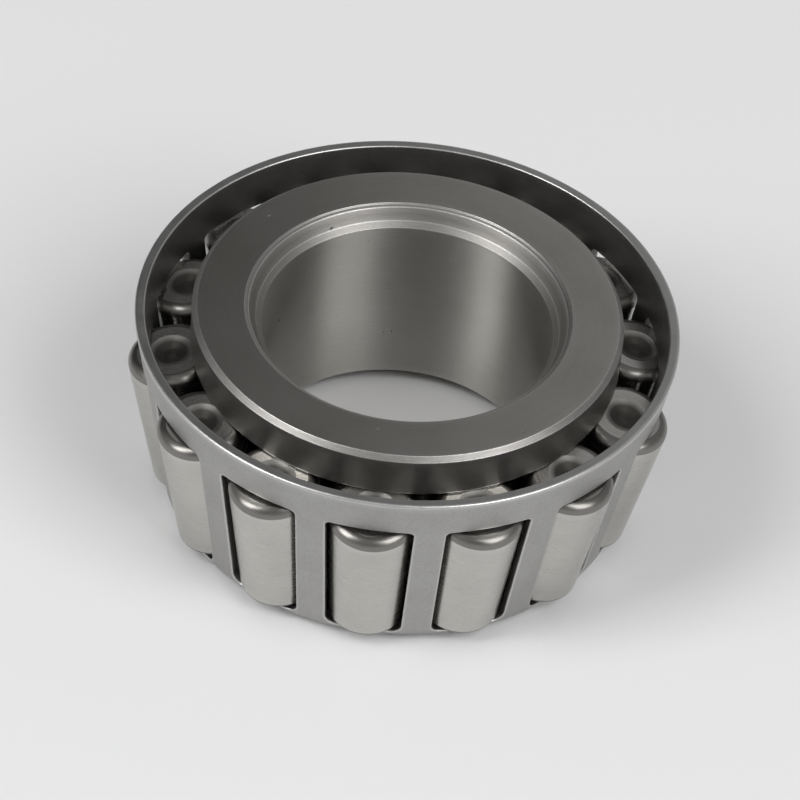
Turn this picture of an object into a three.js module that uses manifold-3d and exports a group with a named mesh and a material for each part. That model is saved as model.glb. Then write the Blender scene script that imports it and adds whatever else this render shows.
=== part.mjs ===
// Tapered roller bearing, cone assembly: the inner ring, its pressed-steel
// cage and fourteen tapered rollers, for a 21.986 mm shaft.
// Millimetres, +Z up. It stands on the small end of its cage, and the origin
// is on the axis in that plane. Heights below are taken from the ring's small
// face, which is STAND above it. The large rib is up, and the first roller's
// axis lies in the plane through -Y.
import * as THREE from "three";
import { mergeVertices } from "three/addons/utils/BufferGeometryUtils.js";
import Module from "manifold-3d";

// ---------------------------------------------------------------- dimensions
const DEG = Math.PI / 180;

const SHAFT_DIAMETER = 21.986;
const BORE_R = SHAFT_DIAMETER / 2;
const RING_WIDTH = 16.637; // face to face
const ROLLERS = 14;
const STAND = 0.8; // cage foot below the ring's small face

// Rollers
const AXIS_TILT = 9.82 * DEG; // roller axis to bearing axis
const ROLLER_R = 3.35; // radius at the large end, before its corner
const ROLLER_LENGTH = 12.0;
const PITCH_R = 17.65; // centre of the roller's large end, from the axis
const PITCH_Z = 12.75; // height of that centre
const LARGE_END_CORNER = 0.75;
const SMALL_END_CORNER = 0.3;
const CORNER_KNEE = 0.3; // middle point of a corner, as a share of its size
const DISH_R = 1.7; // shallow recess in each roller end
const DISH_DEPTH = 0.3;

// Clearances
const RACE_GAP = 0.05; // roller to raceway
const RIB_GAP = 0.05; // roller large end to rib

// Inner ring
const FOOT_CHAMFER = 0.4; // bore edge at the small face
const SMALL_RIB_R = 13.45;
const SMALL_RIB_TOP = 0.85;
const SMALL_RIB_FOOT_CHAMFER = 0.3;
const SMALL_RIB_TOP_CHAMFER = 0.12;
const UNDERCUT = 0.2; // depth of the relief grooves at both ends of the raceway
const GROOVE_EDGE_RISE = 0.14; // height of each groove's lower sloping wall
const SMALL_GROOVE_TOP_RISE = 0.12; // height of the lower groove's upper wall
const LARGE_GROOVE_RISE = 0.1; // upper groove's top, above the rib face line
const LARGE_GROOVE_REACH = 0.3; // rib face starts this far outside the raceway
const RACE_TOP_DROP = 0.4; // raceway top, below the rib face
const RACE_FOOT_DROP = 0.1; // raceway foot, below the rollers' small ends
// Heights at which the raceway radius is read to place its ends and groove
const RACE_TOP_READ_Z = 13.3;
const RACE_FOOT_READ_Z = 2.5;
const SMALL_GROOVE_READ_Z = 2;
const RIB_R = 16.2; // large rib, outside
const RIB_CHAMFER = 0.38; // at the large face
const RIB_FACE_EDGE_WIDTH = 0.2; // bevel from the rib face to the outside
const RIB_FACE_EDGE_RISE = 0.18;
const MOUTH_R = 12.3; // bore mouth at the large face
const MOUTH_DEPTH = 1.3;
const MOUTH_LIP_WIDTH = 0.34; // shallow slope at the mouth's outer edge
const MOUTH_LIP_DROP = 0.1;
const MOUTH_EASE_WIDTH = 0.36; // steep slope where the mouth meets the bore
const MOUTH_EASE_ABOVE = 0.24; // its ends, above and below MOUTH_DEPTH
const MOUTH_EASE_BELOW = 0.2;

// Cage
const SHEET = 0.8; // sheet thickness
const CAGE_TOP_Z = 16.0;
const CAGE_TOP_R = 20.5; // outside, at the top edge
const CAGE_TILT = 9.8 * DEG; // cage wall to the axis
const CAGE_FOOT_Z = -STAND; // underside of the inward flange
const CAGE_FOOT_R = 14.0; // inner edge of that flange
const CAGE_BEND = 1.8; // outside radius of the bend into the flange
const FLANGE_EDGE_R = 0.12; // rounding of the flange's inner edge
const TOP_OUTER_EDGE_R = 0.25; // roundings of the top edge
const TOP_INNER_EDGE_R = 0.2;
const WINDOW_TOP_Z = 12.75; // on the outside surface
const WINDOW_FOOT_Z = 0.38;
const WINDOW_TOP_HALF = 3.26; // half widths of the tapered window
const WINDOW_FOOT_HALF = 2.82;
const WINDOW_TOP_CORNER = 0.3;
const WINDOW_FOOT_CORNER = 0.8;
const CUTTER_DEPTH = 4; // window cutter, square to the sheet
const CUTTER_INSET = 2.6; // part of that depth inside the outer surface

const RING_SEGMENTS = 72;
const CAGE_SEGMENTS = 84;
const ROLLER_SEGMENTS = 20;

// ----------------------------------------------------------------- materials
const MATERIALS = {
  ring: new THREE.MeshStandardMaterial({ color: 0x77746f, roughness: 0.34, metalness: 1.0 }),
  cage: new THREE.MeshStandardMaterial({ color: 0xa19f9b, roughness: 0.5, metalness: 0.9 }),
  roller: new THREE.MeshStandardMaterial({ color: 0xb4b2ae, roughness: 0.28, metalness: 1.0 }),
};

// ------------------------------------------------------------------- helpers
const wasm = await Module();
wasm.setup();

const point = (x, y) => new THREE.Vector2(x, y);

// Angle about the axis of each roller and its window; the first is at -Y.
const stationAngle = (i) => -Math.PI / 2 + (i * 2 * Math.PI) / ROLLERS;

function namedMesh(name, geometry, material) {
  const mesh = new THREE.Mesh(geometry, material);
  mesh.name = name;
  return mesh;
}

// Position-only geometry with shared vertices and no collapsed triangles.
function welded(geometry) {
  const bare = geometry.clone();
  for (const name of Object.keys(bare.attributes)) {
    if (name !== "position") bare.deleteAttribute(name);
  }
  const merged = mergeVertices(bare, 1e-4);
  const index = merged.index.array;
  const kept = [];
  for (let i = 0; i < index.length; i += 3) {
    const [a, b, c] = index.slice(i, i + 3);
    if (a !== b && b !== c && c !== a) kept.push(a, b, c);
  }
  merged.setIndex(kept);
  return merged;
}

// Turns every face outwards, judged by the sign of the enclosed volume.
function facingOut(geometry) {
  const positions = geometry.attributes.position;
  const index = Array.from(geometry.index.array);
  const [a, b, c] = [new THREE.Vector3(), new THREE.Vector3(), new THREE.Vector3()];
  let volume = 0;
  for (let i = 0; i < index.length; i += 3) {
    a.fromBufferAttribute(positions, index[i]);
    b.fromBufferAttribute(positions, index[i + 1]);
    c.fromBufferAttribute(positions, index[i + 2]);
    volume += a.dot(b.cross(c));
  }
  if (volume < 0) {
    for (let i = 0; i < index.length; i += 3) {
      [index[i + 1], index[i + 2]] = [index[i + 2], index[i + 1]];
    }
    geometry.setIndex(index);
  }
  return geometry;
}

// A turned body about +Z from (radius, height) points.
function turned(profile, segments) {
  const lathe = new THREE.LatheGeometry(profile, segments);
  lathe.rotateX(Math.PI / 2);
  return facingOut(welded(lathe));
}

function toSolid(geometry) {
  return new wasm.Manifold(
    new wasm.Mesh({
      numProp: 3,
      vertProperties: new Float32Array(geometry.attributes.position.array),
      triVerts: new Uint32Array(geometry.index.array),
    }),
  );
}

function toGeometry(solid) {
  const mesh = solid.getMesh();
  const positions = new Float32Array(mesh.vertProperties);
  const geometry = new THREE.BufferGeometry();
  geometry.setAttribute("position", new THREE.BufferAttribute(positions, 3));
  geometry.setIndex(new THREE.BufferAttribute(new Uint32Array(mesh.triVerts), 1));
  return geometry;
}

// Points of a rounded corner at `apex`, between its two neighbours.
function cornerArc(previous, apex, next, radius, steps) {
  const toPrevious = previous.clone().sub(apex).normalize();
  const toNext = next.clone().sub(apex).normalize();
  const half = Math.acos(THREE.MathUtils.clamp(toPrevious.dot(toNext), -1, 1)) / 2;
  const setback = radius / Math.tan(half);
  const centre = toPrevious.clone().add(toNext).normalize();
  centre.multiplyScalar(radius / Math.sin(half)).add(apex);
  const start = toPrevious.multiplyScalar(setback).add(apex);
  const end = toNext.multiplyScalar(setback).add(apex);
  const startAngle = Math.atan2(start.y - centre.y, start.x - centre.x);
  let sweep = Math.atan2(end.y - centre.y, end.x - centre.x) - startAngle;
  while (sweep > Math.PI) sweep -= 2 * Math.PI;
  while (sweep < -Math.PI) sweep += 2 * Math.PI;
  const arc = [];
  for (let i = 0; i <= steps; i++) {
    const angle = startAngle + (sweep * i) / steps;
    arc.push(point(centre.x + radius * Math.cos(angle), centre.y + radius * Math.sin(angle)));
  }
  return arc;
}

// Open loop of points from rows of [x, y, corner radius, corner steps].
function rounded(rows) {
  const apexes = rows.map(([x, y]) => point(x, y));
  const count = rows.length;
  return rows.flatMap(([, , radius, steps], i) => {
    const previous = apexes[(i + count - 1) % count];
    return cornerArc(previous, apexes[i], apexes[(i + 1) % count], radius, steps);
  });
}

const closed = (points) => [...points, points[0].clone()];

// ----------------------------------------------------------- cone geometry
// The roller cone and its axis run to one apex on the bearing axis. The
// raceway is the cone the rollers touch, set back by the running clearance.
const apexZ = PITCH_Z - PITCH_R / Math.tan(AXIS_TILT);
const apexToLargeEnd = PITCH_R / Math.sin(AXIS_TILT);
const rollerHalfAngle = Math.atan(ROLLER_R / apexToLargeEnd);
const raceAngle = AXIS_TILT - rollerHalfAngle;

const raceRadius = (z) =>
  (z - apexZ) * Math.tan(raceAngle) - RACE_GAP / Math.cos(raceAngle);

// Centres of the roller's two ends, as (radius, height).
const largeEnd = point(PITCH_R, PITCH_Z);
const smallEnd = point(
  PITCH_R - ROLLER_LENGTH * Math.sin(AXIS_TILT),
  PITCH_Z - ROLLER_LENGTH * Math.cos(AXIS_TILT),
);

// Height, at a given radius, of the plane square to the roller axis at `centre`.
const endPlaneZ = (centre, radius) => centre.y + (centre.x - radius) * Math.tan(AXIS_TILT);

// ---------------------------------------------------------------- inner ring
function innerRing() {
  // Face of the large rib that the rollers' large ends face.
  const ribFaceZ = (radius) => endPlaneZ(largeEnd, radius) + RIB_GAP / Math.cos(AXIS_TILT);
  const raceTop = ribFaceZ(raceRadius(RACE_TOP_READ_Z)) - RACE_TOP_DROP;
  const raceFoot = endPlaneZ(smallEnd, raceRadius(RACE_FOOT_READ_Z)) - RACE_FOOT_DROP;
  const raceTopR = raceRadius(raceTop);
  const smallGrooveR = raceRadius(SMALL_GROOVE_READ_Z) - UNDERCUT;
  const largeGrooveR = raceTopR - UNDERCUT;
  const ribFaceStartR = raceTopR + LARGE_GROOVE_REACH;
  const ribFaceEndR = RIB_R - RIB_FACE_EDGE_WIDTH;
  const mouthFloorZ = RING_WIDTH - MOUTH_DEPTH;
  const profile = [
    // Small face and small rib
    point(BORE_R, FOOT_CHAMFER),
    point(BORE_R + FOOT_CHAMFER, 0),
    point(SMALL_RIB_R - SMALL_RIB_FOOT_CHAMFER, 0),
    point(SMALL_RIB_R, SMALL_RIB_FOOT_CHAMFER),
    point(SMALL_RIB_R, SMALL_RIB_TOP - SMALL_RIB_TOP_CHAMFER),
    point(SMALL_RIB_R - SMALL_RIB_TOP_CHAMFER, SMALL_RIB_TOP),
    // Raceway between its two grooves
    point(smallGrooveR, SMALL_RIB_TOP + GROOVE_EDGE_RISE),
    point(smallGrooveR, raceFoot - SMALL_GROOVE_TOP_RISE),
    point(raceRadius(raceFoot), raceFoot),
    point(raceTopR, raceTop),
    point(largeGrooveR, raceTop + GROOVE_EDGE_RISE),
    point(largeGrooveR, ribFaceZ(raceTopR) + LARGE_GROOVE_RISE),
    // Large rib
    point(ribFaceStartR, ribFaceZ(ribFaceStartR)),
    point(ribFaceEndR, ribFaceZ(ribFaceEndR)),
    point(RIB_R, ribFaceZ(RIB_R) + RIB_FACE_EDGE_RISE),
    point(RIB_R, RING_WIDTH - RIB_CHAMFER),
    point(RIB_R - RIB_CHAMFER, RING_WIDTH),
    // Bore mouth
    point(MOUTH_R, RING_WIDTH),
    point(MOUTH_R - MOUTH_LIP_WIDTH, RING_WIDTH - MOUTH_LIP_DROP),
    point(BORE_R + MOUTH_EASE_WIDTH, mouthFloorZ + MOUTH_EASE_ABOVE),
    point(BORE_R, mouthFloorZ - MOUTH_EASE_BELOW),
  ];
  return namedMesh("inner_ring", turned(closed(profile), RING_SEGMENTS), MATERIALS.ring);
}

// ---------------------------------------------------------------------- cage
const cageOuterR = (z) => CAGE_TOP_R + (z - CAGE_TOP_Z) * Math.tan(CAGE_TILT);
const cageInnerR = (z) => cageOuterR(z) - SHEET / Math.cos(CAGE_TILT);

function cageShell() {
  const flangeTop = CAGE_FOOT_Z + SHEET;
  // Radius, height, corner radius, corner steps
  const profile = rounded([
    [CAGE_FOOT_R, CAGE_FOOT_Z, FLANGE_EDGE_R, 1],
    [cageOuterR(CAGE_FOOT_Z), CAGE_FOOT_Z, CAGE_BEND, 4],
    [cageOuterR(CAGE_TOP_Z), CAGE_TOP_Z, TOP_OUTER_EDGE_R, 2],
    [cageInnerR(CAGE_TOP_Z), CAGE_TOP_Z, TOP_INNER_EDGE_R, 1],
    [cageInnerR(flangeTop), flangeTop, CAGE_BEND - SHEET, 2],
    [CAGE_FOOT_R, flangeTop, FLANGE_EDGE_R, 1],
  ]);
  return turned(closed(profile), CAGE_SEGMENTS);
}

// One tapered window cutter, over +X.
function windowCutter() {
  const middleZ = (WINDOW_TOP_Z + WINDOW_FOOT_Z) / 2;
  const halfLength = (WINDOW_TOP_Z - WINDOW_FOOT_Z) / 2 / Math.cos(CAGE_TILT);
  // Across the sheet, up the sheet, corner radius, corner steps
  const outline = rounded([
    [-WINDOW_FOOT_HALF, -halfLength, WINDOW_FOOT_CORNER, 3],
    [WINDOW_FOOT_HALF, -halfLength, WINDOW_FOOT_CORNER, 3],
    [WINDOW_TOP_HALF, halfLength, WINDOW_TOP_CORNER, 2],
    [-WINDOW_TOP_HALF, halfLength, WINDOW_TOP_CORNER, 2],
  ]);
  const cutter = new THREE.ExtrudeGeometry(new THREE.Shape(outline), {
    depth: CUTTER_DEPTH,
    bevelEnabled: false,
  });
  cutter.translate(0, 0, -CUTTER_INSET);
  // Outline y runs up the sheet, depth runs outwards.
  const sheetFrame = new THREE.Matrix4().makeBasis(
    new THREE.Vector3(0, 1, 0),
    new THREE.Vector3(Math.sin(CAGE_TILT), 0, Math.cos(CAGE_TILT)),
    new THREE.Vector3(Math.cos(CAGE_TILT), 0, -Math.sin(CAGE_TILT)),
  );
  sheetFrame.setPosition(cageOuterR(middleZ), 0, middleZ);
  return cutter.applyMatrix4(sheetFrame);
}

function cage() {
  const cutter = windowCutter();
  let solid = toSolid(cageShell());
  for (let i = 0; i < ROLLERS; i++) {
    const placed = cutter.clone().rotateZ(stationAngle(i));
    solid = solid.subtract(toSolid(facingOut(welded(placed))));
  }
  return namedMesh("cage", toGeometry(solid), MATERIALS.cage);
}

// ------------------------------------------------------------------- rollers
// Lies along +Z, with its small end at 0 and its large end at ROLLER_LENGTH.
function rollerGeometry() {
  const radiusAt = (height) =>
    (apexToLargeEnd - (ROLLER_LENGTH - height)) * Math.tan(rollerHalfAngle);
  const smallKnee = SMALL_END_CORNER * CORNER_KNEE;
  const largeKnee = LARGE_END_CORNER * CORNER_KNEE;
  const largeCornerZ = ROLLER_LENGTH - LARGE_END_CORNER;
  const profile = [
    point(0, DISH_DEPTH),
    point(DISH_R, 0),
    point(radiusAt(0) - SMALL_END_CORNER, 0),
    point(radiusAt(SMALL_END_CORNER) - smallKnee, smallKnee),
    point(radiusAt(SMALL_END_CORNER), SMALL_END_CORNER),
    point(radiusAt(largeCornerZ), largeCornerZ),
    point(radiusAt(largeCornerZ) - largeKnee, ROLLER_LENGTH - largeKnee),
    point(radiusAt(ROLLER_LENGTH) - LARGE_END_CORNER, ROLLER_LENGTH),
    point(DISH_R, ROLLER_LENGTH),
    point(0, ROLLER_LENGTH - DISH_DEPTH),
  ];
  return turned(profile, ROLLER_SEGMENTS);
}

// A roller on its tilted seat, turned to its place round the axis.
function rollerStation(geometry, i) {
  const station = new THREE.Group();
  station.rotation.z = stationAngle(i);
  const seat = new THREE.Group();
  seat.position.set(smallEnd.x, 0, smallEnd.y);
  seat.rotation.y = AXIS_TILT;
  station.add(seat);
  const name = `roller_${String(i + 1).padStart(2, "0")}`;
  seat.add(namedMesh(name, geometry.clone(), MATERIALS.roller));
  return station;
}

// ------------------------------------------------------------------ assembly
const bearing = new THREE.Group();
bearing.position.z = STAND;
bearing.add(innerRing(), cage());
const roller = rollerGeometry();
for (let i = 0; i < ROLLERS; i++) bearing.add(rollerStation(roller, i));

export default bearing;
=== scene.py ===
"""Looks of a tapered roller bearing's cone assembly: ring, cage and 14 rollers.

The bearing stands on the floor about +Z, large end up. Roller 1 is towards -Y.
Dimensions are in millimetres, with heights measured from the ring's foot face, which lies STAND
above the floor. Meshes, lights and the camera are placed in metres.
"""

import math

import bmesh
import bpy
import numpy as np
from mathutils import Matrix, Vector


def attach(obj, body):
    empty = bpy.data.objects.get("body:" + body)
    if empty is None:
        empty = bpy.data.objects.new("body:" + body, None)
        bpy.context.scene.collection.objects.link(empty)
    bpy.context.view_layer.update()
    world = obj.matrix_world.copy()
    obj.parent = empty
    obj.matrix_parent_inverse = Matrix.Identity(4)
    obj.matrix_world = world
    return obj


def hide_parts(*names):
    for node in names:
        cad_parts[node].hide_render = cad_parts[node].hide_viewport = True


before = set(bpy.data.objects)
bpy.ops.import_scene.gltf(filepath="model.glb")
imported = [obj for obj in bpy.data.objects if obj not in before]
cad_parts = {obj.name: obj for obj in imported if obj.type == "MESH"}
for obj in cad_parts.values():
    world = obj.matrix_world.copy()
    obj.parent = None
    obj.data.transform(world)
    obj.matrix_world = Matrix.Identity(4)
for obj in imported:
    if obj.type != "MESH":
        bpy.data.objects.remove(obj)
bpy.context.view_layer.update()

MM = 0.001
RING_SEG = 360
ROLLER_SEG = 128

# ---------------------------------------------------------------- dimensions
STAND = 0.8

# ring
BORE_R, RING_W = 10.993, 16.637
RIB_R, RIB_CHAMFER = 16.2, 0.38
SMALL_RIB_R, SMALL_RIB_TOP = 13.45, 0.85
MOUTH_R, MOUTH_D = 12.3, 1.3
FOOT_CHAMFER, UNDERCUT = 0.4, 0.2
RACE_GAP = RIB_GAP = 0.05

# rollers: radius at the large end, and where the axis meets that end
ROLLERS, ROLLER_R, ROLLER_LEN = 14, 3.35, 12.0
PITCH_R, PITCH_Z = 17.65, 12.75
TILT = math.radians(9.82)
DISH_R, DISH_D = 1.7, 0.3

# cage: radii are to the outside of the sheet, except the flange's inner edge
SHEET, CAGE_TOP_Z, CAGE_TOP_R = 0.8, 16.0, 20.5
LEAN = math.radians(9.8)
CAGE_FOOT_Z, FLANGE_EDGE_R, CAGE_BEND = -STAND, 14.0, 1.8
WIN_TOP_Z, WIN_FOOT_Z = 12.75, 0.38
WIN_TOP_HALF, WIN_FOOT_HALF = 3.26, 2.82

# The rollers' axes and surfaces all meet at the apex, on the bearing's axis.
TAN_TILT = math.tan(TILT)
APEX_Z = PITCH_Z - PITCH_R / TAN_TILT
APEX_TO_END = PITCH_R / math.sin(TILT)
TAPER = math.atan(ROLLER_R / APEX_TO_END)
RACE_ANGLE = TILT - TAPER
ROLLER_FOOT_R = PITCH_R - ROLLER_LEN * math.sin(TILT)
ROLLER_FOOT_Z = PITCH_Z - ROLLER_LEN * math.cos(TILT)
HALF_PITCH = math.pi / ROLLERS


def roller_r(height):
    """Roller radius at a height along its own axis, from its small end."""
    return (APEX_TO_END - (ROLLER_LEN - height)) * math.tan(TAPER)


def race_r(z):
    return (z - APEX_Z) * math.tan(RACE_ANGLE) - RACE_GAP / math.cos(RACE_ANGLE)


def rib_foot(r):
    """Height of the large rib's underside, parallel to the rollers' large ends."""
    return PITCH_Z + (PITCH_R - r) * TAN_TILT + RIB_GAP / math.cos(TILT)


def roller_foot_z(r):
    """Height of the plane of a roller's small end."""
    return ROLLER_FOOT_Z + (ROLLER_FOOT_R - r) * TAN_TILT


# ------------------------------------------------------------------ profiles
def lerp(start, end, share):
    return start[0] + (end[0] - start[0]) * share, start[1] + (end[1] - start[1]) * share


def fillet(before, corner, after, radius, steps):
    """Arc points of a corner, with a close support point on each side so flats stay flat."""
    before, corner, after = (np.array(p, float) for p in (before, corner, after))
    back, on = before - corner, after - corner
    back_len, on_len = np.linalg.norm(back), np.linalg.norm(on)
    back, on = back / back_len, on / on_len
    half = math.acos(max(-1.0, min(1.0, float(back @ on)))) / 2
    setback = radius / math.tan(half)
    most = 0.46 * min(back_len, on_len)
    if setback > most:
        radius, setback = radius * most / setback, most
    middle = back + on
    centre = corner + middle / np.linalg.norm(middle) * radius / math.sin(half)
    start, end = corner + back * setback, corner + on * setback
    angle = math.atan2(start[1] - centre[1], start[0] - centre[0])
    turn = math.atan2(end[1] - centre[1], end[0] - centre[0]) - angle
    while turn > math.pi:
        turn -= 2 * math.pi
    while turn < -math.pi:
        turn += 2 * math.pi
    arc = [
        (
            centre[0] + radius * math.cos(angle + turn * i / steps),
            centre[1] + radius * math.sin(angle + turn * i / steps),
        )
        for i in range(steps + 1)
    ]
    gap = min(0.05, 0.2 * radius + 0.004)
    support = corner + back * (setback + gap), corner + on * (setback + gap)
    return [tuple(support[0])] + arc + [tuple(support[1])]


def outline(spec):
    """Points and edge-wear values of a profile of (r, z, fillet radius, steps)."""
    points, wear = [], []
    for i, (r, z, radius, steps) in enumerate(spec):
        if radius <= 0:
            points.append((r, z))
            wear.append(0.0)
            continue
        arc = fillet(spec[i - 1][:2], (r, z), spec[(i + 1) % len(spec)][:2], radius, steps)
        points += arc
        wear += [0.25] + [1.0] * (len(arc) - 2) + [0.25]
    return points, wear


def refine(points, marks, longest, closed=True):
    """Splits long spans, so marks and shading don't smear over them. New points get mark 0."""
    new_points, new_marks = [], []
    n = len(points)
    for i in range(n if closed else n - 1):
        start, end = points[i], points[(i + 1) % n]
        length = math.hypot(end[0] - start[0], end[1] - start[1])
        parts = max(1, int(math.ceil(length / longest)))
        for j in range(parts):
            new_points.append(lerp(start, end, j / parts))
            new_marks.append(marks[i] if j == 0 else 0.0)
    if not closed:
        new_points.append(points[-1])
        new_marks.append(marks[-1])
    return new_points, new_marks


# -------------------------------------------------------------------- meshes
def set_floats(me, name, numbers):
    data = me.attributes.new(name, "FLOAT", "POINT").data
    data.foreach_set("value", np.array(numbers, np.float32))


def set_vectors(me, name, vectors):
    data = me.attributes.new(name, "FLOAT_VECTOR", "POINT").data
    data.foreach_set("vector", np.array(vectors, np.float32).ravel())


def get_vectors(data, field):
    flat = np.zeros(len(data) * 3, np.float32)
    data.foreach_get(field, flat)
    return flat.reshape(-1, 3)


def link_new(name, data):
    ob = bpy.data.objects.new(name, data)
    bpy.context.scene.collection.objects.link(ob)
    return ob


def mesh_object(name, verts, faces, wear):
    """A smooth-shaded object from vertices in millimetres."""
    me = bpy.data.meshes.new(name)
    me.from_pydata([tuple(c * MM for c in v) for v in verts], [], faces)
    me.validate()
    set_floats(me, "wear", wear)
    me.update()
    me.polygons.foreach_set("use_smooth", np.ones(len(me.polygons), bool))
    return link_new(name, me)


def outward(verts, faces):
    """The faces, all turned over if they enclose a negative volume."""
    v = np.array(verts, float)
    volume = 0.0
    for f in faces:
        for i in range(1, len(f) - 1):
            volume += float(np.dot(v[f[0]], np.cross(v[f[i]], v[f[i + 1]])))
    return faces if volume > 0 else [tuple(reversed(f)) for f in faces]


def lathe(name, points, wear, seg, closed=True):
    """A turned body about +Z. An open profile starts and ends on the axis.

    Attribute "across" runs along the profile, square to the turning marks, and "own_mm" is the
    place in the piece's own frame.
    """
    n = len(points)
    rings = range(n) if closed else range(1, n - 1)
    verts, faces, worn, across = [], [], [], []
    for i in rings:
        r, z = points[i]
        before, after = points[i - 1], points[(i + 1) % n]
        length = math.hypot(after[0] - before[0], after[1] - before[1]) or 1.0
        along_r, along_z = (after[0] - before[0]) / length, (after[1] - before[1]) / length
        for j in range(seg):
            angle = 2 * math.pi * j / seg
            cos, sin = math.cos(angle), math.sin(angle)
            verts.append((r * cos, r * sin, z))
            worn.append(wear[i])
            across.append((along_r * cos, along_r * sin, along_z))

    starts = [seg * row for row in range(len(rings))]
    spans = list(zip(starts, starts[1:]))
    if closed:
        spans.append((starts[-1], starts[0]))
    for low, high in spans:
        for j in range(seg):
            k = (j + 1) % seg
            faces.append((low + j, low + k, high + k, high + j))
    if not closed:
        for end, near in ((0, starts[0]), (n - 1, starts[-1])):
            tip = len(verts)
            verts.append((0, 0, points[end][1]))
            worn.append(wear[end])
            across.append((1.0, 0.0, 0.0))
            for j in range(seg):
                fan = (tip, near + (j + 1) % seg, near + j)
                faces.append(fan if end == 0 else tuple(reversed(fan)))
    ob = mesh_object(name, verts, outward(verts, faces), worn)
    set_vectors(ob.data, "across", across)
    set_vectors(ob.data, "own_mm", verts)
    return ob


def stand_in(ob, piece):
    """The object moves with a CAD piece and takes its place."""
    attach(ob, piece)
    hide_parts(piece)


# --------------------------------------------------------------- node writing
class Nodes:
    """Short node-tree writing."""

    def __init__(self, tree):
        self.tree = tree
        tree.nodes.clear()

    def add(self, kind, **props):
        node = self.tree.nodes.new(kind)
        for key, value in props.items():
            setattr(node, key, value)
        return node

    def put(self, socket, value):
        """Links a socket, or sets its value."""
        if isinstance(value, bpy.types.NodeSocket):
            self.tree.links.new(value, socket)
        elif isinstance(value, (tuple, list)) and len(value) == 3 and socket.type == "RGBA":
            socket.default_value = (*value, 1.0)
        else:
            socket.default_value = value

    def fed(self, node, inputs):
        """The node, with its inputs set from {name or number: value}."""
        for key, value in inputs.items():
            self.put(node.inputs[key], value)
        return node

    def math(self, operation, first, second=0.0):
        node = self.add("ShaderNodeMath", operation=operation)
        return self.fed(node, {0: first, 1: second, 2: 0.0}).outputs[0]

    def times(self, first, second):
        return self.math("MULTIPLY", first, second)

    def plus(self, first, second):
        return self.math("ADD", first, second)

    def span(self, value, between, to=(0.0, 1.0), smooth=False):
        """Maps the range `between` to the range `to`, clamped."""
        node = self.add("ShaderNodeMapRange", clamp=True)
        if smooth:
            node.interpolation_type = "SMOOTHSTEP"
        ranges = {"From Min": between[0], "From Max": between[1], "To Min": to[0], "To Max": to[1]}
        return self.fed(node, {"Value": value, **ranges}).outputs[0]

    def mix(self, share, first, second):
        node = self.add("ShaderNodeMix", data_type="RGBA")
        return self.fed(node, {0: share, 6: first, 7: second}).outputs[2]

    def mix_floats(self, share, first, second):
        node = self.add("ShaderNodeMix", data_type="FLOAT")
        return self.fed(node, {0: share, 2: first, 3: second}).outputs[0]

    def noise(self, place, scale, detail, rough):
        inputs = {"Vector": place, "Scale": scale, "Detail": detail, "Roughness": rough}
        return self.fed(self.add("ShaderNodeTexNoise"), inputs).outputs["Fac"]

    def attribute(self, name, output="Fac"):
        return self.add("ShaderNodeAttribute", attribute_name=name).outputs[output]


class Surface(Nodes):
    """A material made of one Principled shader."""

    def __init__(self, name):
        self.material = bpy.data.materials.new(name)
        self.material.use_nodes = True
        super().__init__(self.material.node_tree)
        out = self.add("ShaderNodeOutputMaterial")
        self.principled = self.add("ShaderNodeBsdfPrincipled")
        self.put(out.inputs[0], self.principled.outputs[0])

    def set(self, inputs):
        self.fed(self.principled, inputs)

    def object_point(self):
        return self.add("ShaderNodeTexCoord").outputs["Object"]

    def object_mm(self):
        node = self.add("ShaderNodeVectorMath", operation="MULTIPLY")
        inputs = {0: self.object_point(), 1: (1000.0, 1000.0, 1000.0)}
        return self.fed(node, inputs).outputs[0]

    def radius(self, place):
        """Distance from the z axis, then x, y and z."""
        x, y, z = self.fed(self.add("ShaderNodeSeparateXYZ"), {0: place}).outputs
        return self.math("SQRT", self.plus(self.times(x, x), self.times(y, y))), x, y, z

    def polar(self, place):
        """Radius, height, cosine and sine of a place about the z axis."""
        r, x, y, z = self.radius(place)
        safe = self.math("MAXIMUM", r, 0.01)
        return r, z, self.math("DIVIDE", x, safe), self.math("DIVIDE", y, safe)

    def streaks(self, cos, sin, along, scales, detail, rough, seed=None):
        """Stretched noise. `scales` are how fast it changes round the axis and along the profile."""
        x, y = self.times(cos, scales[0]), self.times(sin, scales[0])
        if seed is not None:
            y = self.plus(y, seed)
        place = self.add("ShaderNodeCombineXYZ")
        self.fed(place, {0: x, 1: y, 2: self.times(along, scales[1])})
        return self.noise(place.outputs[0], scale=1.0, detail=detail, rough=rough)

    def layered(self, base, layers):
        """Lays (amount, colour) layers over a base colour."""
        for amount, colour in layers:
            base = self.mix(amount, base, colour)
        return base

    def adjusted(self, rough, changes):
        """Applies (operation, mask, strength) changes to a roughness."""
        for operation, mask, strength in changes:
            rough = self.math(operation, rough, self.times(mask, strength))
        return rough

    def bump(self, layers):
        """Stacks bumps of (height, strength, distance in metres)."""
        normal = None
        for height, strength, distance in layers:
            node = self.add("ShaderNodeBump")
            self.fed(node, {"Strength": strength, "Distance": distance, "Height": height})
            if normal is not None:
                self.put(node.inputs["Normal"], normal)
            normal = node.outputs[0]
        self.set({"Normal": normal})

    def metal(self, base, rough):
        self.set({"Base Color": base, "Metallic": 1.0, "Roughness": rough})

    def brushed(self, anisotropic):
        """The highlight spreads across the turning marks."""
        turn = self.add(
            "ShaderNodeVectorTransform",
            vector_type="VECTOR", convert_from="OBJECT", convert_to="WORLD",
        )
        self.put(turn.inputs[0], self.attribute("across", "Vector"))
        self.set({"Anisotropic": anisotropic, "Tangent": turn.outputs[0]})


# ----------------------------------------------------------------- materials
BACKDROP = (0.75, 0.75, 0.755)


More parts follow.
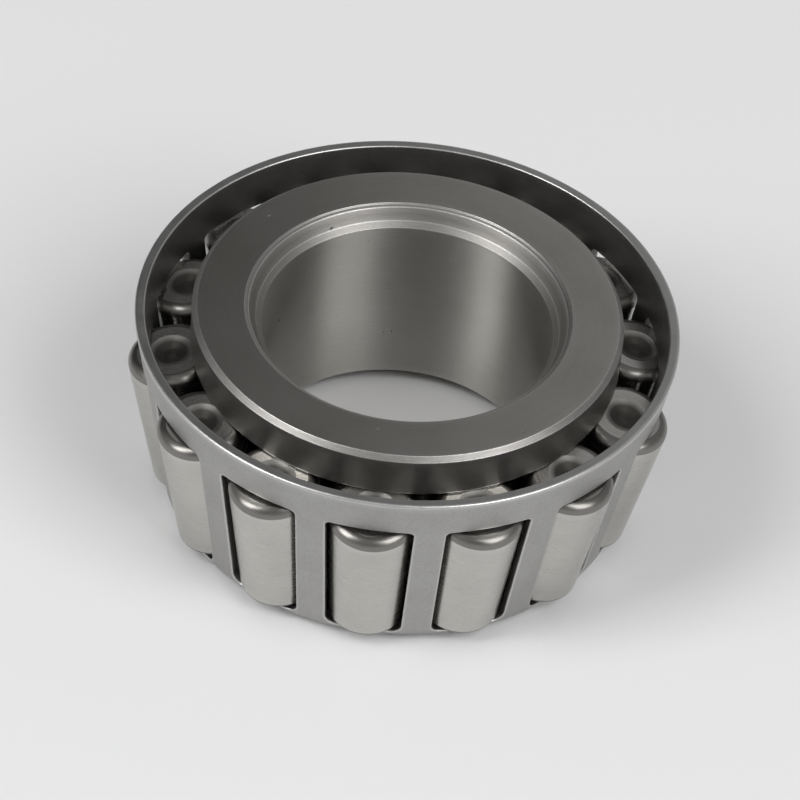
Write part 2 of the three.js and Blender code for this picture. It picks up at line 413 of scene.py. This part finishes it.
def ring_steel():
    """Ground bearing steel: lines run round the axis on every face."""
    mat = Surface("ring_steel_ground")
    place = mat.object_mm()
    r, z, cos, sin = mat.polar(place)
    wear, bore, turned, race, bevel = (
        mat.attribute(name) for name in ("wear", "bore", "turned", "race", "bevel")
    )
    # r and z together, so the lines show on flat faces as well as round ones
    along = mat.plus(mat.times(r, 1.0), mat.times(z, 1.31))
    lines = mat.streaks(cos, sin, along, scales=(2.2, 16.0), detail=4.0, rough=0.7)
    fine = mat.streaks(cos, sin, along, scales=(9.0, 55.0), detail=2.0, rough=0.6)
    cloud = mat.noise(place, scale=0.16, detail=3.0, rough=0.5)
    speck = mat.noise(place, scale=5.5, detail=2.0, rough=0.7)
    dots = mat.noise(place, scale=1.25, detail=1.0, rough=0.4)
    pit = mat.span(dots, between=(0.215, 0.17), smooth=True)
    edge = mat.times(wear, mat.span(speck, between=(0.25, 0.6), to=(0.55, 1.0)))

    base = mat.mix(
        mat.span(cloud, between=(0.3, 0.7)), (0.390, 0.376, 0.344), (0.448, 0.436, 0.408)
    )
    base = mat.layered(base, (
        (mat.times(turned, 0.85), (0.335, 0.318, 0.295)),
        (mat.times(bevel, 0.85), (0.19, 0.182, 0.17)),
        (race, (0.60, 0.592, 0.575)),
        (mat.span(lines, between=(0.35, 0.68), to=(0.0, 0.34)), (0.30, 0.292, 0.28)),
        (mat.span(fine, between=(0.5, 0.75), to=(0.0, 0.28)), (0.62, 0.612, 0.60)),
        (mat.span(speck, between=(0.60, 0.75), to=(0.0, 0.30)), (0.25, 0.24, 0.228)),
        (mat.times(pit, 0.5), (0.07, 0.062, 0.055)),
        (mat.times(edge, 0.6), (0.66, 0.655, 0.64)),
    ))
    rough = mat.adjusted(mat.span(lines, between=(0.3, 0.7), to=(0.29, 0.37)), (
        ("ADD", turned, 0.06),
        ("ADD", bevel, 0.10),
        ("ADD", bore, 0.07),
        ("SUBTRACT", race, 0.12),
        ("SUBTRACT", edge, 0.08),
        ("ADD", pit, 0.3),
    ))
    mat.metal(base, rough)
    # strongest in the bore
    mat.brushed(anisotropic=mat.plus(0.30, mat.times(bore, 0.68)))
    mat.bump((
        (lines, 0.35, 0.000012),
        (fine, 0.30, 0.000005),
        (mat.math("SUBTRACT", 1.0, pit), 0.8, 0.00003),
    ))
    return mat.material


def cage_steel():
    """Pressed sheet steel, tumbled: matt light grey with a fine grain. The inside of the shell and
    the window walls are painted dark as shade.
    """
    mat = Surface("cage_steel_pressed")
    place = mat.object_mm()
    _, z, cos, sin = mat.polar(place)
    wear, cut, inner = (mat.attribute(name) for name in ("wear", "cut", "inner"))
    grain = mat.noise(place, scale=6.5, detail=3.0, rough=0.75)
    tiny = mat.noise(place, scale=17.0, detail=2.0, rough=0.7)
    cloud = mat.noise(place, scale=0.35, detail=4.0, rough=0.55)
    drawn = mat.streaks(cos, sin, z, scales=(60.0, 0.9), detail=3.0, rough=0.6)
    marks = mat.streaks(cos, sin, z, scales=(14.0, 2.4), detail=5.0, rough=0.75)
    edge = mat.times(wear, mat.span(grain, between=(0.3, 0.6), to=(0.4, 1.0)))

    base = mat.mix(
        mat.span(cloud, between=(0.3, 0.72)), (0.355, 0.351, 0.343), (0.412, 0.409, 0.402)
    )
    base = mat.layered(base, (
        (mat.span(grain, between=(0.52, 0.78), to=(0.0, 0.5)), (0.235, 0.229, 0.22)),
        (mat.span(tiny, between=(0.55, 0.8), to=(0.0, 0.5)), (0.56, 0.557, 0.548)),
        (mat.span(drawn, between=(0.55, 0.8), to=(0.0, 0.22)), (0.28, 0.273, 0.262)),
        (mat.span(marks, between=(0.66, 0.74), to=(0.0, 0.4)), (0.17, 0.164, 0.156)),
        # painted shade: the inside of the shell, between the rollers and the ring, is darkened
        (mat.times(inner, 0.65), (0.125, 0.12, 0.113)),
        # painted shade: the window's cut walls are darkened, as the slits beside the rollers lie in
        # shade
        (mat.times(cut, 0.6), (0.12, 0.115, 0.108)),
        (mat.times(edge, 0.7), (0.64, 0.635, 0.625)),
    ))
    rough = mat.span(grain, between=(0.3, 0.75), to=(0.36, 0.52))
    rough = mat.plus(rough, mat.span(cloud, between=(0.3, 0.7), to=(-0.03, 0.04)))
    rough = mat.adjusted(rough, (("SUBTRACT", edge, 0.12),))
    mat.metal(base, rough)
    mat.bump(((grain, 0.30, 0.00003), (tiny, 0.28, 0.00001), (drawn, 0.15, 0.00001)))
    return mat.material


def roller_steel():
    """Ground and honed roller: fine lines round its own axis, dished ends left as turned and
    rougher, with painted shade darkening the hollows nearly to black.
    """
    mat = Surface("roller_steel_honed")
    r, z, cos, sin = mat.polar(mat.attribute("own_mm", "Vector"))
    place = mat.object_mm()
    wear, dish, corner, seed = (
        mat.attribute(name) for name in ("wear", "dish", "corner", "seed")
    )
    along = mat.plus(mat.times(r, 1.7), z)
    lines = mat.streaks(cos, sin, along, scales=(1.8, 13.0), detail=4.0, rough=0.7, seed=seed)
    fine = mat.streaks(cos, sin, along, scales=(6.0, 60.0), detail=2.0, rough=0.6, seed=seed)
    scratch = mat.streaks(cos, sin, z, scales=(3.0, 0.7), detail=6.0, rough=0.8, seed=seed)
    cloud = mat.noise(place, scale=0.3, detail=3.0, rough=0.5)
    speck = mat.noise(place, scale=7.0, detail=2.0, rough=0.7)
    edge = mat.times(wear, mat.span(speck, between=(0.25, 0.6), to=(0.6, 1.0)))

    base = mat.mix(
        mat.span(cloud, between=(0.3, 0.7)), (0.466, 0.459, 0.433), (0.514, 0.507, 0.479)
    )
    base = mat.layered(base, (
        (mat.span(lines, between=(0.42, 0.78), to=(0.0, 0.16)), (0.335, 0.33, 0.32)),
        (mat.span(fine, between=(0.45, 0.8), to=(0.0, 0.2)), (0.60, 0.592, 0.565)),
        (mat.span(speck, between=(0.62, 0.78), to=(0.0, 0.22)), (0.27, 0.263, 0.253)),
        (mat.span(scratch, between=(0.66, 0.72), to=(0.0, 0.12)), (0.32, 0.31, 0.30)),
        (mat.times(corner, 0.85), (0.17, 0.163, 0.152)),
        # painted shade: the dished hollow of each end is darkened nearly to black
        (mat.times(dish, 0.92), (0.075, 0.07, 0.062)),
        (mat.times(edge, 0.5), (0.66, 0.657, 0.65)),
    ))
    rough = mat.adjusted(mat.span(lines, between=(0.3, 0.7), to=(0.20, 0.30)), (
        ("ADD", dish, 0.25),
        ("ADD", corner, 0.06),
        ("SUBTRACT", edge, 0.05),
    ))
    mat.metal(base, rough)
    mat.brushed(anisotropic=0.45)
    mat.bump(((lines, 0.10, 0.000006), (fine, 0.16, 0.000002)))
    return mat.material


def floor_paint():
    """Pale matt floor. Far from the bearing it fades into the backdrop, to the camera only, so
    low views have no hard horizon."""
    mat = Surface("pale_floor")
    place = mat.object_point()
    soft = mat.noise(place, scale=3.0, detail=3.0, rough=0.5)
    grain = mat.noise(place, scale=900.0, detail=2.0, rough=0.6)
    base = mat.mix(mat.span(soft, between=(0.3, 0.7)), (0.76, 0.76, 0.762), (0.80, 0.80, 0.802))
    grain_amount = mat.span(grain, between=(0.3, 0.7), to=(0.0, 0.12))
    base = mat.mix(grain_amount, base, (0.76, 0.76, 0.762))

    r = mat.radius(mat.object_mm())[0]
    seen = mat.add("ShaderNodeLightPath").outputs["Is Camera Ray"]
    far = mat.times(mat.span(r, between=(400.0, 1600.0), smooth=True), seen)
    mat.set({
        "Base Color": mat.mix(far, base, (0.0, 0.0, 0.0)),
        "Emission Color": BACKDROP,
        "Emission Strength": far,
        "Roughness": mat.span(grain, between=(0.3, 0.7), to=(0.62, 0.74)),
        "Specular IOR Level": mat.mix_floats(far, 0.35, 0.0),
    })
    mat.bump(((grain, 0.05, 0.0001),))
    return mat.material


def dim_card_paint():
    mat = Surface("dim_card")
    mat.set({"Base Color": (0.05, 0.05, 0.05), "Roughness": 0.9})
    return mat.material


# ---------------------------------------------------------------- inner ring
def build_ring():
    # the race stops short of the ribs; 13.3 and 2.5 are heights near its ends
    race_top = rib_foot(race_r(13.3)) - 0.4
    race_foot = roller_foot_z(race_r(2.5)) - 0.1
    top_r, low_r = race_r(race_top), race_r(race_foot)
    # (r, z, fillet radius, steps), from the foot of the bore round the outside and back
    spec = [
        # foot chamfer and small rib
        (BORE_R, FOOT_CHAMFER, 0.10, 4),
        (BORE_R + FOOT_CHAMFER, 0.0, 0.12, 4),
        (SMALL_RIB_R, 0.0, 0.30, 6),
        (SMALL_RIB_R, SMALL_RIB_TOP, 0.15, 5),
        # lower undercut
        (low_r - UNDERCUT - 0.12, SMALL_RIB_TOP + 0.14, 0.12, 4),
        (low_r - UNDERCUT - 0.10, race_foot - 0.14, 0.10, 4),
        # race
        (low_r, race_foot, 0.07, 4),
        (top_r, race_top, 0.07, 4),
        # upper undercut
        (top_r - UNDERCUT, race_top + 0.16, 0.10, 4),
        (top_r - UNDERCUT, rib_foot(top_r) + 0.10, 0.12, 4),
        # large rib
        (top_r + 0.30, rib_foot(top_r + 0.30), 0.06, 4),
        (RIB_R, rib_foot(RIB_R), 0.18, 6),
        (RIB_R, RING_W - RIB_CHAMFER, 0.10, 5),
        (RIB_R - RIB_CHAMFER, RING_W, 0.10, 5),
        # mouth: a small step, then a slope down into the bore
        (MOUTH_R, RING_W, 0.05, 4),
        (MOUTH_R - 0.11, RING_W - 0.10, 0.05, 4),
        (MOUTH_R - 0.33, RING_W - 0.19, 0.15, 5),
        (BORE_R + 0.40, RING_W - MOUTH_D + 0.24, 0.30, 6),
        (BORE_R, RING_W - MOUTH_D - 0.2, 0.12, 5),
    ]
    points, wear = refine(*outline(spec), longest=0.6)
    ob = lathe("ring_body", [(r, z + STAND) for r, z in points], wear, RING_SEG)
    me = ob.data

    place = get_vectors(me.vertices, "co") / MM
    r, z = np.hypot(place[:, 0], place[:, 1]), place[:, 2] - STAND
    slack = 0.004  # how near a vertex counts as on a surface
    bore = r < BORE_R + slack
    top_face = (z > RING_W - slack) & (r > MOUTH_R)
    foot_face = (z < slack) & (r > BORE_R + FOOT_CHAMFER)
    race = (z > race_foot) & (z < race_top) & (np.abs(r - race_r(z)) < 0.02)
    rib_bevel = (z > RING_W - RIB_CHAMFER - 0.1) & (r > RIB_R - RIB_CHAMFER - 0.05)
    mouth = (z > RING_W - 1.5) & (z < RING_W - 0.015) & (r < MOUTH_R - 0.005) & ~bore
    set_floats(me, "bore", bore)
    set_floats(me, "race", race)
    set_floats(me, "bevel", rib_bevel | mouth)
    set_floats(me, "turned", ~(bore | top_face | foot_face | race))
    me.materials.append(ring_steel())
    stand_in(ob, "inner_ring")


# ---------------------------------------------------------------------- cage
# The sheet is described by (up, depth): the distance up its straight wall from WIN_FOOT_Z, and
# the depth inwards from its outside. Below BEND_UP it runs round an arc into the inward flange.
COS_LEAN, SIN_LEAN = math.cos(LEAN), math.sin(LEAN)


def cage_outer_r(z):
    return CAGE_TOP_R + (z - CAGE_TOP_Z) * math.tan(LEAN)


# (r, z) directions and start of the straight wall
WALL_UP = np.array((SIN_LEAN, COS_LEAN))
WALL_IN = np.array((-COS_LEAN, SIN_LEAN))
WALL_BASE = np.array((cage_outer_r(WIN_FOOT_Z), WIN_FOOT_Z))
BEND_UP = (CAGE_FOOT_Z + CAGE_BEND * (1 - SIN_LEAN) - WIN_FOOT_Z) / COS_LEAN
BEND_CENTRE = WALL_BASE + WALL_UP * BEND_UP + WALL_IN * CAGE_BEND

# Each roller's sector of the shell: its window, and the sector's lower and upper borders.
WIN_LEN = (WIN_TOP_Z - WIN_FOOT_Z) / COS_LEAN
SECTOR_LOW, SECTOR_HIGH = -0.45, WIN_LEN + 0.55
SIDE_PARTS, ARC_PARTS, END_PARTS = ((30, 6, 26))
EDGE_STEPS = 5
FLANGE_BEND_STEPS = 12
# shares of the way from the window to the sector's border
SHARES = [0.08, 0.18, 0.3, 0.44, 0.6, 0.8, 1.0]
# rounding of the window's edge on the outside and on the inside
OUTER_EDGE, INNER_EDGE = 0.11, 0.07


def bend(depth, angle):
    """(r, z) on the bend, with the angle down from level."""
    radius = CAGE_BEND - depth
    return (
        float(BEND_CENTRE[0] + radius * math.cos(angle)),
        float(BEND_CENTRE[1] - radius * math.sin(angle)),
    )


def bend_angle(up, depth):
    return LEAN + math.asin((BEND_UP - up) / (CAGE_BEND - depth))


def wall(up, depth):
    """(r, z) of a place in the sheet; cuts are square to the straight wall."""
    if up < BEND_UP:
        return bend(depth, bend_angle(up, depth))
    r, z = WALL_BASE + WALL_UP * up + WALL_IN * depth
    return float(r), float(z)


def is_inner(r, z):
    """1 on the inside of the shell, 0 elsewhere. The material paints the inside dark as shade."""
    past = 0.6 * SHEET
    if z > BEND_CENTRE[1]:
        inside = r < cage_outer_r(z) - past and z < CAGE_TOP_Z - 0.05
    elif r > BEND_CENTRE[0]:
        inside = math.hypot(r - BEND_CENTRE[0], z - BEND_CENTRE[1]) < CAGE_BEND - past
    else:
        inside = z > CAGE_FOOT_Z + past
    return 1.0 if inside else 0.0


def sector_point(sector, azimuth, r, z):
    """Place in space; the azimuth is from the middle of the sector's window."""
    angle = -math.pi / 2 + sector * 2 * HALF_PITCH + azimuth
    return (r * math.cos(angle), r * math.sin(angle), z + STAND)


def window_loops():
    """Matching anticlockwise loops: the window as (width, up), the border as (azimuth, up)."""
    corners = [
        (WIN_FOOT_HALF, 0.0), (WIN_TOP_HALF, WIN_LEN),
        (-WIN_TOP_HALF, WIN_LEN), (-WIN_FOOT_HALF, 0.0),
    ]
    radii = (0.8, 0.42, 0.42, 0.8)
    arcs = [
        fillet(corners[i - 1], corners[i], corners[(i + 1) % 4], radii[i], 2 * ARC_PARTS)[1:-1]
        for i in range(4)
    ]
    # how far the border's part facing each window corner reaches from the border's corner
    high_az, high_up = HALF_PITCH * 0.10, 0.50
    low_az, low_up = HALF_PITCH * 0.26, 0.85
    side, low, high = HALF_PITCH, SECTOR_LOW, SECTOR_HIGH
    # start, corner and end on the border for each arc
    spots = [
        [(side - low_az, low), (side, low), (side, low + low_up)],
        [(side, high - high_up), (side, high), (side - high_az, high)],
        [(-side + high_az, high), (-side, high), (-side, high - high_up)],
        [(-side, low + low_up), (-side, low), (-side + low_az, low)],
    ]
    window, border = [], []
    for i, (arc, (start, corner, end)) in enumerate(zip(arcs, spots)):
        for j, point in enumerate(arc):
            window.append(point)
            share = j / (len(arc) - 1)
            if share <= 0.5:
                border.append(lerp(start, corner, share * 2))
            else:
                border.append(lerp(corner, end, share * 2 - 1))
        following = (i + 1) % 4
        parts = SIDE_PARTS if i % 2 == 0 else END_PARTS
        for j in range(1, parts):
            window.append(lerp(arc[-1], arcs[following][0], j / parts))
            border.append(lerp(end, spots[following][0], j / parts))
    return window, border


def sector_rings():
    """Loops round a window, from the sector's border outside, through the wall, to the border
    inside, as (depth, growth of the window, share of the way to the border, wear, cut, inner)."""
    turns = [math.pi / 2 * j / EDGE_STEPS for j in range(EDGE_STEPS + 1)]
    outer, inner = OUTER_EDGE, INNER_EDGE
    rings = [(0.0, outer + 0.06, share, 0.0, 0.0, 0.0) for share in reversed(SHARES)]
    rings.append((0.0, outer + 0.02, 0.0, 0.35, 0.0, 0.0))
    for j, turn in enumerate(turns):
        depth, grow = outer * (1 - math.cos(turn)), outer * (1 - math.sin(turn))
        rings.append((depth, grow, 0.0, 1.0, 0.15 * j / EDGE_STEPS, 0.0))
    rings.append((outer + 0.03, 0.0, 0.0, 0.2, 0.6, 0.0))
    for share in (0.35, 0.7):
        rings.append((outer + (SHEET - outer - inner) * share, 0.0, 0.0, 0.0, 1.0, 0.0))
    rings.append((SHEET - inner - 0.02, 0.0, 0.0, 0.1, 0.8, 0.0))
    for turn in turns:
        depth, grow = SHEET - inner * (1 - math.sin(turn)), inner * (1 - math.cos(turn))
        rings.append((depth, grow, 0.0, 0.8, 0.4, 0.0))
    rings.append((SHEET, inner + 0.02, 0.0, 0.2, 0.0, 0.8))
    rings += [(SHEET, inner + 0.05, share, 0.0, 0.0, 1.0) for share in SHARES]
    return rings


class Shell:
    """Vertices shared by place, with the values of whichever row made them first."""

    def __init__(self):
        self.verts, self.faces, self.index = [], [], {}
        self.wear, self.cut, self.inner = [], [], []

    def vert(self, point, wear, cut, inner):
        key = (round(point[0], 5), round(point[1], 5), round(point[2], 5))
        if key not in self.index:
            self.index[key] = len(self.verts)
            self.verts.append(point)
            self.wear.append(wear)
            self.cut.append(cut)
            self.inner.append(inner)
        return self.index[key]

    def stitch(self, rows):
        """Quads between successive closed rows."""
        for low, high in zip(rows, rows[1:]):
            for i in range(len(low)):
                j = (i + 1) % len(low)
                face = (low[i], low[j], high[j], high[i])
                if len(set(face)) > 2:
                    self.faces.append(face)

    def sweep(self, columns, path, wear):
        """Rows of quads along a meridian path from one side of the sheet to the other."""
        path, wear = refine(path, wear, longest=0.5, closed=False)
        self.stitch([
            [
                self.vert(sector_point(sector, azimuth, r, z), worn, 0.0, is_inner(r, z))
                for sector, azimuth in columns
            ]
            for (r, z), worn in zip(path, wear)
        ])


def add_sectors(shell, window, border):
    window = np.array(window)
    tangent = np.roll(window, -1, 0) - np.roll(window, 1, 0)
    normal = np.stack([tangent[:, 1], -tangent[:, 0]], 1)
    normal /= np.linalg.norm(normal, axis=1)[:, None]
    rings = sector_rings()
    for sector in range(ROLLERS):
        rows = []
        for depth, grow, share, wear, cut, inner in rings:
            row = []
            for point, outwards, (border_az, border_up) in zip(window, normal, border):
                width, up = point + outwards * grow
                azimuth = math.asin(width / wall(up, depth)[0])
                if share:
                    azimuth += (border_az - azimuth) * share
                    up += (border_up - up) * share
                place = sector_point(sector, azimuth, *wall(up, depth))
                row.append(shell.vert(place, wear, cut, inner))
            rows.append(row)
        shell.stitch(rows)


def border_columns(border, edge):
    """(sector, azimuth) of every column of the sectors' upper or lower border."""
    azimuths = sorted({round(azimuth, 9) for azimuth, up in border if abs(up - edge) < 1e-9})
    return [(sector, azimuth) for sector in range(ROLLERS) for azimuth in azimuths[:-1]]


def add_rim(shell, border):
    """From the sectors up the outside, over the top edge and down the inside."""
    start, end = wall(SECTOR_HIGH, 0.0), wall(SECTOR_HIGH, SHEET)
    top_out = (cage_outer_r(CAGE_TOP_Z), CAGE_TOP_Z)
    top_in = (cage_outer_r(CAGE_TOP_Z) - SHEET / COS_LEAN, CAGE_TOP_Z)
    outer = fillet(start, top_out, top_in, 0.20, 6)
    inner = fillet(top_out, top_in, end, 0.14, 5)
    wear = [0.0, 0.3] + [1.0] * (len(outer) - 2) + [0.2]
    wear += [0.2] + [0.9] * (len(inner) - 2) + [0.3, 0.0]
    shell.sweep(border_columns(border, SECTOR_HIGH), [start] + outer + inner + [end], wear)


def add_flange(shell, border):
    """Round the bend inside, over the flange's edge, and back underneath round the outside."""

    def bend_path(depth):
        angle = bend_angle(SECTOR_LOW, depth)
        return [wall(SECTOR_LOW, depth)] + [
            bend(depth, angle + (math.pi / 2 - angle) * j / FLANGE_BEND_STEPS)
            for j in range(1, FLANGE_BEND_STEPS + 1)
        ]

    edge_top = (FLANGE_EDGE_R, CAGE_FOOT_Z + SHEET)
    edge_low = (FLANGE_EDGE_R, CAGE_FOOT_Z)
    inside, outside = bend_path(SHEET), bend_path(0.0)[::-1]
    edge = fillet(inside[-1], edge_top, edge_low, 0.12, 5)
    edge += fillet(edge_top, edge_low, outside[0], 0.16, 5)
    wear = [0.0] * len(inside) + [0.8] * len(edge) + [0.12] * (len(outside) - 1) + [0.0]
    shell.sweep(border_columns(border, SECTOR_LOW), inside + edge + outside, wear)


def build_cage():
    """One shell: a sector with a window for each roller, the rim above and the flange below."""
    window, border = window_loops()
    shell = Shell()
    add_sectors(shell, window, border)
    add_rim(shell, border)
    add_flange(shell, border)

    ob = mesh_object("cage_body", shell.verts, shell.faces, shell.wear)
    me = ob.data
    # painted shade: the material darkens the window's cut walls
    set_floats(me, "cut", shell.cut)
    # painted shade: the material darkens the inside of the shell
    set_floats(me, "inner", shell.inner)
    bm = bmesh.new()
    bm.from_mesh(me)
    bmesh.ops.recalc_face_normals(bm, faces=bm.faces)
    bm.to_mesh(me)
    bm.free()
    me.materials.append(cage_steel())
    stand_in(ob, "cage")


# ------------------------------------------------------------------- rollers
def roller_profile():
    """Points, edge wear and unground corners of a roller standing on its small end."""
    top = ROLLER_LEN
    floor_r = 0.55  # flat middle of each dished end
    # (r, z, fillet radius, steps)
    spec = [
        (0.0, DISH_D, 0, 0),
        (floor_r, DISH_D, 0.35, 4),
        (DISH_R, 0.0, 0.09, 4),
        (roller_r(0), 0.0, 0.30, 6),
        (roller_r(top), top, 0.75, 12),
        (DISH_R, top, 0.10, 4),
        (floor_r, top - DISH_D, 0.35, 4),
        (0.0, top - DISH_D, 0, 0),
    ]
    points, marks = outline(spec)
    # unground corners are dark; the lines where grinding meets them are worn bright
    body_r = 2.0
    corner = [float(mark == 1.0 and r > body_r) for mark, (r, _) in zip(marks, points)]
    wear = [
        mark * 1.6 if r > body_r and not dark else 0.0
        for mark, dark, (r, _) in zip(marks, corner, points)
    ]
    _, corner = refine(points, corner, longest=0.7, closed=False)
    points, wear = refine(points, wear, longest=0.7, closed=False)
    return points, wear, corner


def build_rollers():
    points, wear, corner = roller_profile()
    # the last two vertices are the middles of the ends
    corner_values = np.append(np.repeat(corner[1:-1], ROLLER_SEG), (0.0, 0.0))
    material = roller_steel()
    for k in range(ROLLERS):
        name = "roller_%02d" % (k + 1)
        ob = lathe("steel_" + name, points, wear, ROLLER_SEG, closed=False)
        me = ob.data
        own = get_vectors(me.attributes["own_mm"].data, "vector")
        near_end = (own[:, 2] < 1) | (own[:, 2] > ROLLER_LEN - 1)
        # the dish mask carries painted shade in the hollow of each end
        set_floats(me, "dish", (np.hypot(own[:, 0], own[:, 1]) < DISH_R - 0.1) & near_end)
        set_floats(me, "corner", corner_values)
        me.materials.append(material)

        # each roller is turned by its own amount, the golden angle times its number
        place = (
            Matrix.Rotation(-math.pi / 2 + k * 2 * math.pi / ROLLERS, 4, "Z")
            @ Matrix.Translation(Vector((ROLLER_FOOT_R, 0, ROLLER_FOOT_Z + STAND)) * MM)
            @ Matrix.Rotation(TILT, 4, "Y")
            @ Matrix.Rotation(2.399963 * (k + 1), 4, "Z")
        )
        me.transform(place)
        across = me.attributes["across"].data
        turned = get_vectors(across, "vector") @ np.array(place.to_3x3(), np.float32).T
        across.foreach_set("vector", turned.ravel())
        set_floats(me, "seed", np.full(len(me.vertices), 3.7 * k))
        me.update()
        stand_in(ob, name)


# --------------------------------------------------------------------- stage
def build_floor():
    """A disc of rings round the origin, 5 m in radius."""
    seg = 96
    radii = [0.05, 0.12, 0.3, 0.8, 2.0, 5.0]
    verts = [(0, 0, 0)]
    for r in radii:
        for j in range(seg):
            angle = 2 * math.pi * j / seg
            verts.append((r * math.cos(angle), r * math.sin(angle), 0))
    faces = [(0, 1 + j, 1 + (j + 1) % seg) for j in range(seg)]
    for i in range(len(radii) - 1):
        near, far = 1 + i * seg, 1 + (i + 1) * seg
        for j in range(seg):
            k = (j + 1) % seg
            faces.append((near + j, far + j, far + k, near + k))
    me = bpy.data.meshes.new("floor")
    me.from_pydata(verts, [], faces)
    me.update()
    floor = link_new("floor", me)
    me.materials.append(floor_paint())


def soft_box(name, azimuth, elevation, width, height, watts):
    """An area light facing the bearing. Azimuth 0 is towards -Y and 90 towards +X."""
    distance, target = 0.9, Vector((0, 0, 0.012))
    az, el = math.radians(azimuth), math.radians(elevation)
    away = Vector((math.sin(az) * math.cos(el), -math.cos(az) * math.cos(el), math.sin(el)))
    light = bpy.data.lights.new(name, "AREA")
    light.shape = "RECTANGLE"
    light.size, light.size_y = width, height
    light.energy = watts
    ob = bpy.data.objects.new(name, light)
    ob.location = target + away * distance
    ob.rotation_mode = "QUATERNION"
    ob.rotation_quaternion = (-away).to_track_quat("-Z", "Y")
    bpy.context.scene.collection.objects.link(ob)


def build_dim_card():
    """An upright card unseen by the camera, behind and to the left: it darkens the left of the
    ring's face."""
    behind = 0.09
    # (x, z)
    shape = [(-0.26, 0.03), (-0.03, 0.03), (0.0, 0.10), (0.01, 0.22), (-0.26, 0.22)]
    me = bpy.data.meshes.new("dim_card")
    me.from_pydata([(x, behind, z) for x, z in shape], [], [(0, 1, 2, 3, 4)])
    card = link_new("dim_card", me)
    me.materials.append(dim_card_paint())
    card.visible_camera = False
    card.visible_shadow = False
    card.visible_diffuse = False


def build_world():
    """A grey sky by height lights the scene; the camera sees a plain pale backdrop."""
    world = bpy.data.worlds.new("studio")
    bpy.context.scene.world = world
    world.use_nodes = True
    sky = Nodes(world.node_tree)
    out = sky.add("ShaderNodeOutputWorld")
    incoming = sky.add("ShaderNodeNewGeometry").outputs["Incoming"]
    parts = sky.fed(sky.add("ShaderNodeSeparateXYZ"), {0: incoming})
    up = sky.fed(sky.add("ShaderNodeMath", operation="MULTIPLY"), {0: parts.outputs[2], 1: -1.0})

    ramp = sky.add("ShaderNodeValToRGB")
    horizon, zenith = ramp.color_ramp.elements
    horizon.color = (0.60, 0.60, 0.605, 1)
    zenith.color = (0.33, 0.33, 0.333, 1)
    # (height, grey)
    for height, grey in ((0.35, 0.32), (0.62, 0.37), (0.85, 0.37)):
        ramp.color_ramp.elements.new(height).color = (grey, grey, grey * 1.01, 1)
    sky.put(ramp.inputs[0], up.outputs[0])

    dim = sky.fed(sky.add("ShaderNodeBackground"), {0: ramp.outputs[0]})
    pale = sky.fed(sky.add("ShaderNodeBackground"), {0: BACKDROP})
    seen = sky.add("ShaderNodeLightPath").outputs["Is Camera Ray"]
    mix = sky.add("ShaderNodeMixShader")
    sky.fed(mix, {0: seen, 1: dim.outputs[0], 2: pale.outputs[0]})
    sky.put(out.inputs[0], mix.outputs[0])


def about_z(degrees):
    cos, sin = math.cos(math.radians(degrees)), math.sin(math.radians(degrees))
    return np.array(((cos, -sin, 0), (sin, cos, 0), (0, 0, 1)))


def build_camera():
    """A long lens from -Y and above, placed in millimetres and then turned to the bearing."""
    pitch = math.radians(32.71)
    roll, heading = 0.68, -11.65
    # the middle of the ring's top face: right, down and forward of the unturned camera
    top_seen = np.array((36.68, 59.43, 358.71))
    aim_z = 8.2

    # columns: where the bearing's x, y and z point in camera axes
    level = np.stack([
        np.array((1.0, 0, 0)),
        np.array((0, -math.sin(pitch), math.cos(pitch))),
        np.array((0, -math.cos(pitch), -math.sin(pitch))),
    ], 1)
    view = about_z(roll) @ level @ about_z(heading)
    right, down, forward = view
    location = np.array((0, 0, STAND + RING_W)) - view.T @ top_seen
    aim = np.array((0.0, 0.0, aim_z)) - location
    aim /= np.linalg.norm(aim)
    turn = Vector(forward).rotation_difference(Vector(aim)).to_matrix()
    unturned = Matrix((Vector(right), -Vector(down), -Vector(forward))).transposed()

    cam = bpy.data.cameras.new("camera")
    cam.sensor_width = 36.0
    cam.lens = 220.0
    cam.clip_start, cam.clip_end = 0.01, 20.0
    ob = bpy.data.objects.new("camera", cam)
    ob.matrix_world = Matrix.Translation(Vector(location) * MM) @ (turn @ unturned).to_4x4()
    bpy.context.scene.collection.objects.link(ob)
    bpy.context.scene.camera = ob


build_ring()
build_cage()
build_rollers()
build_floor()
soft_box("soft_right", azimuth=54, elevation=44, width=0.50, height=0.66, watts=4.3)
soft_box("soft_left", azimuth=-59, elevation=44, width=0.32, height=0.66, watts=4.2)
build_dim_card()
build_world()
build_camera()

view_settings = bpy.context.scene.view_settings
view_settings.view_transform = "Standard"
view_settings.look = "None"
view_settings.exposure = 0.0

bpy.context.view_layer.update()
